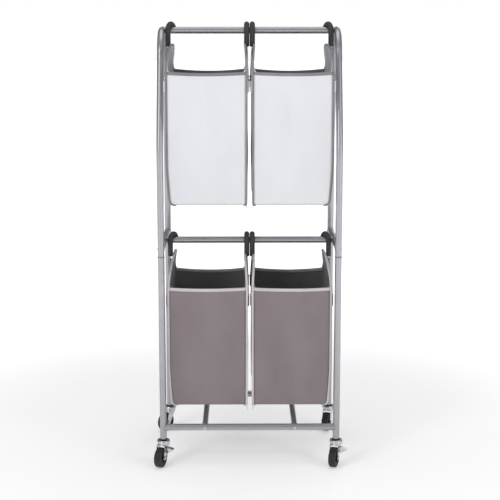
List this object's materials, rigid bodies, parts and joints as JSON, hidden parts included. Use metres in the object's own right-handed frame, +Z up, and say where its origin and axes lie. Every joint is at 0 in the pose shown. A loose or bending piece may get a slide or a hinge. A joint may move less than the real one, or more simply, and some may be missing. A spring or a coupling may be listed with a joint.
{
  "type": "laundry sorter",
  "caption": "Two-tier rolling laundry sorter: tube frame on swivel casters with fabric bags hung by padded wire hooks from two bars.",
  "frame": {"origin": "on the floor, midway between the four posts", "axes": "+X to the user's right, -Y the front, +Z up"},
  "size_m": [0.7466, 0.4895, 1.6628],
  "materials": {
    "silver_paint": "silver powder coat, satin",
    "bare_steel": "zinc plated",
    "chrome_plate": "bright plated pressings",
    "chrome_wire": "bright plated wire",
    "black_plastic": "moulded black plastic",
    "black_rubber": "black tread",
    "grey_grip": "soft dark grey foam sleeve",
    "white_fabric": "white woven polyester",
    "taupe_fabric": "taupe woven polyester"
  },
  "bodies": {
    "frame": {"left_upper_hoop": "silver_paint", "right_upper_hoop": "silver_paint", "left_middle_rail": "silver_paint", "right_middle_rail": "silver_paint", "upper_hanging_bar": "silver_paint", "lower_hanging_bar": "silver_paint", "front_bottom_rail": "silver_paint", "rear_bottom_rail": "silver_paint", "left_floor_rail": "silver_paint", "right_floor_rail": "silver_paint", "front_left_post": "silver_paint", "front_right_post": "silver_paint", "rear_left_post": "silver_paint", "rear_right_post": "silver_paint", "post_spigots": "bare_steel", "rail_nuts": "bare_steel", "frame_screws": "bare_steel", "caster_sockets": "black_plastic", "caster_stems": "chrome_plate"},
    "front_left_caster": {"front_left_fork": "chrome_plate", "front_left_axle": "chrome_plate", "front_left_brake_pin": "bare_steel"},
    "front_left_wheel": {"front_left_hub": "black_plastic", "front_left_tyre": "black_rubber"},
    "front_left_brake": {"front_left_brake_lever": "chrome_plate"},
    "front_right_caster": {"front_right_fork": "chrome_plate", "front_right_axle": "chrome_plate", "front_right_brake_pin": "bare_steel"},
    "front_right_wheel": {"front_right_hub": "black_plastic", "front_right_tyre": "black_rubber"},
    "front_right_brake": {"front_right_brake_lever": "chrome_plate"},
    "rear_left_caster": {"rear_left_fork": "chrome_plate", "rear_left_axle": "chrome_plate"},
    "rear_left_wheel": {"rear_left_hub": "black_plastic", "rear_left_tyre": "black_rubber"},
    "rear_right_caster": {"rear_right_fork": "chrome_plate", "rear_right_axle": "chrome_plate"},
    "rear_right_wheel": {"rear_right_hub": "black_plastic", "rear_right_tyre": "black_rubber"},
    "upper_left_bag": {"upper_left_bag": "white_fabric", "upper_left_bag_left_hanger": "chrome_wire", "upper_left_bag_left_grip": "grey_grip", "upper_left_bag_right_hanger": "chrome_wire", "upper_left_bag_right_grip": "grey_grip"},
    "upper_right_bag": {"upper_right_bag": "white_fabric", "upper_right_bag_left_hanger": "chrome_wire", "upper_right_bag_left_grip": "grey_grip", "upper_right_bag_right_hanger": "chrome_wire", "upper_right_bag_right_grip": "grey_grip"},
    "lower_left_bag": {"lower_left_bag": "taupe_fabric", "lower_left_bag_left_hanger": "chrome_wire", "lower_left_bag_left_grip": "grey_grip", "lower_left_bag_right_hanger": "chrome_wire", "lower_left_bag_right_grip": "grey_grip"},
    "lower_right_bag": {"lower_right_bag": "taupe_fabric", "lower_right_bag_left_hanger": "chrome_wire", "lower_right_bag_left_grip": "grey_grip", "lower_right_bag_right_hanger": "chrome_wire", "lower_right_bag_right_grip": "grey_grip"}
  },
  "joints": [
    {"name": "front_left_swivel", "type": "hinge", "parent": "frame", "child": "front_left_caster", "pos_m": [-0.3275, -0.2, 0.09], "axis": [0, 0, 1], "continuous": true},
    {"name": "front_left_roll", "type": "hinge", "parent": "front_left_caster", "child": "front_left_wheel", "pos_m": [-0.33708, -0.22631, 0.0375], "axis": [0.9397, -0.342, 0], "continuous": true},
    {"name": "front_left_brake_press", "type": "hinge", "parent": "front_left_caster", "child": "front_left_brake", "pos_m": [-0.31237, -0.22041, 0.07], "axis": [0.342, 0.9397, 0], "range_deg": [0, 10]},
    {"name": "front_right_swivel", "type": "hinge", "parent": "frame", "child": "front_right_caster", "pos_m": [0.3275, -0.2, 0.09], "axis": [0, 0, 1], "continuous": true},
    {"name": "front_right_roll", "type": "hinge", "parent": "front_right_caster", "child": "front_right_wheel", "pos_m": [0.31792, -0.22631, 0.0375], "axis": [0.9397, -0.342, 0], "continuous": true},
    {"name": "front_right_brake_press", "type": "hinge", "parent": "front_right_caster", "child": "front_right_brake", "pos_m": [0.34263, -0.22041, 0.07], "axis": [0.342, 0.9397, 0], "range_deg": [0, 10]},
    {"name": "rear_left_swivel", "type": "hinge", "parent": "frame", "child": "rear_left_caster", "pos_m": [-0.3275, 0.2, 0.09], "axis": [0, 0, 1], "continuous": true},
    {"name": "rear_left_roll", "type": "hinge", "parent": "rear_left_caster", "child": "rear_left_wheel", "pos_m": [-0.34474, 0.17794, 0.0375], "axis": [0.788, -0.6157, 0], "continuous": true},
    {"name": "rear_right_swivel", "type": "hinge", "parent": "frame", "child": "rear_right_caster", "pos_m": [0.3275, 0.2, 0.09], "axis": [0, 0, 1], "continuous": true},
    {"name": "rear_right_roll", "type": "hinge", "parent": "rear_right_caster", "child": "rear_right_wheel", "pos_m": [0.31885, 0.17337, 0.0375], "axis": [0.9511, -0.309, 0], "continuous": true},
    {"name": "upper_left_bag_lift", "type": "slide", "parent": "frame", "child": "upper_left_bag", "axis": [0, 0, 1], "range_m": [0, 0.026]},
    {"name": "upper_right_bag_lift", "type": "slide", "parent": "frame", "child": "upper_right_bag", "axis": [0, 0, 1], "range_m": [0, 0.026]},
    {"name": "lower_left_bag_lift", "type": "slide", "parent": "frame", "child": "lower_left_bag", "axis": [0, 0, 1], "range_m": [0, 0.026]},
    {"name": "lower_right_bag_lift", "type": "slide", "parent": "frame", "child": "lower_right_bag", "axis": [0, 0, 1], "range_m": [0, 0.026]}
  ]
}
